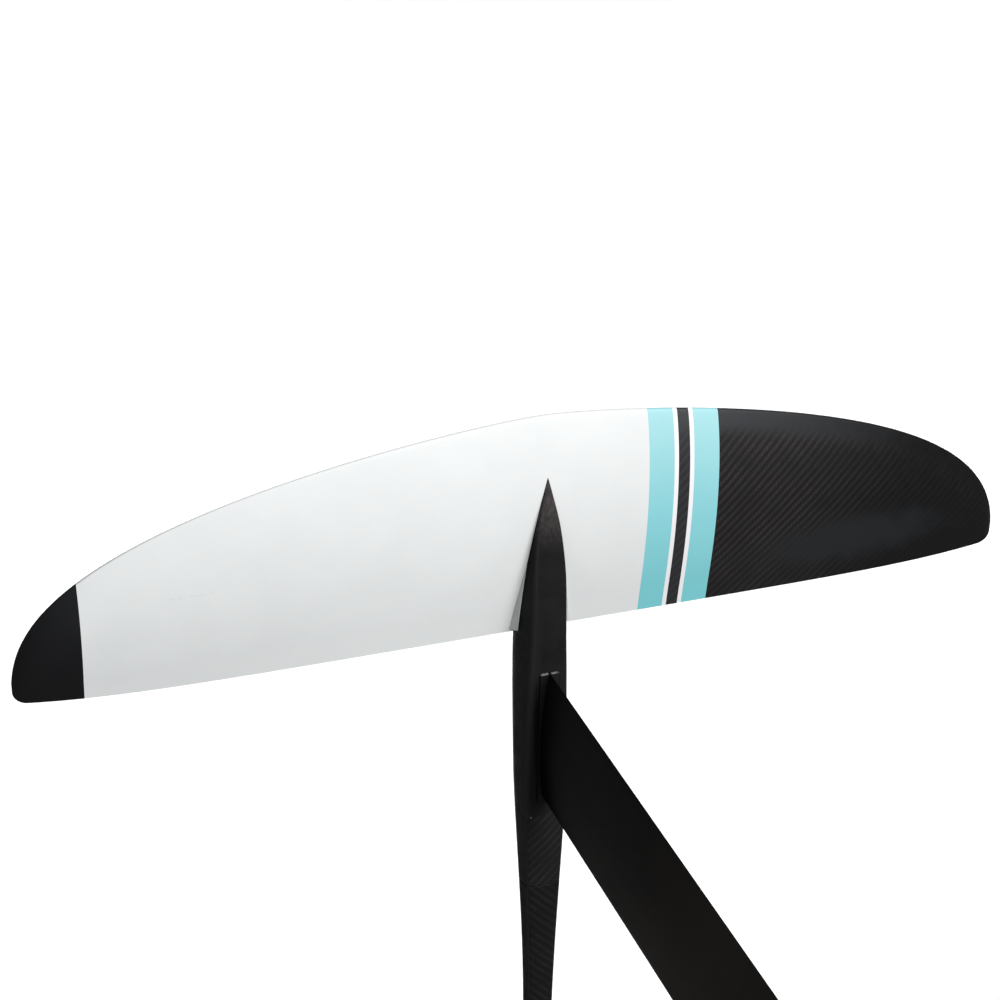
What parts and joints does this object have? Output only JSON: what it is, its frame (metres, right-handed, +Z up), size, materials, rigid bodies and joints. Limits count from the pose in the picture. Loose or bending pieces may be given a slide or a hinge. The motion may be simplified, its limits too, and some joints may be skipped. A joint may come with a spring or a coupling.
{
  "type": "hydrofoil",
  "caption": "Water-sports hydrofoil: painted carbon front wing on a carbon fuselage, hollow black mast, rear wing and a slotted base plate for a board.",
  "frame": {"origin": "centre of the base plate's board face, in the middle of its bolt slots", "axes": "+X to starboard, +Y forward towards the front wing, +Z up out of the board face along the mast"},
  "size_m": [0.82, 0.67, 0.7762],
  "materials": {
    "painted_skin": "satin paint over carbon laminate: white with light blue bands and bare carbon areas",
    "satin_carbon": "satin twill carbon",
    "fuselage_carbon": "matt carbon wrap with a satin clear coat",
    "laminate": "raw solid carbon laminate",
    "foam": "closed-cell foam",
    "black_aluminium": "black anodised, satin",
    "stainless": "machined stainless steel",
    "brass": "knurled brass",
    "shim_plastic": "moulded plastic"
  },
  "bodies": {
    "root": {"front_wing_upper_skin": "painted_skin", "front_wing_lower_skin": "satin_carbon", "front_wing_core": "foam", "front_wing_root_block": "laminate", "front_wing_bushes": "stainless", "front_wing_screws": "stainless", "nose_threaded_inserts": "brass", "fuselage_main": "fuselage_carbon", "fuselage_tail": "fuselage_carbon", "fuselage_spigot": "laminate", "mast_foot": "black_aluminium", "mast_extrusion": "black_aluminium", "mast_chamber_plugs": "foam", "mast_foot_screws": "stainless", "mast_foot_cup_washers": "stainless", "mast_lower_thread_inserts": "stainless", "mast_upper_thread_inserts": "stainless", "base_plate": "black_aluminium", "base_plate_screws": "stainless", "rear_wing": "satin_carbon", "rear_wing_shim": "shim_plastic", "rear_wing_screws": "stainless", "tail_threaded_inserts": "brass"}
  },
  "joints": []
}
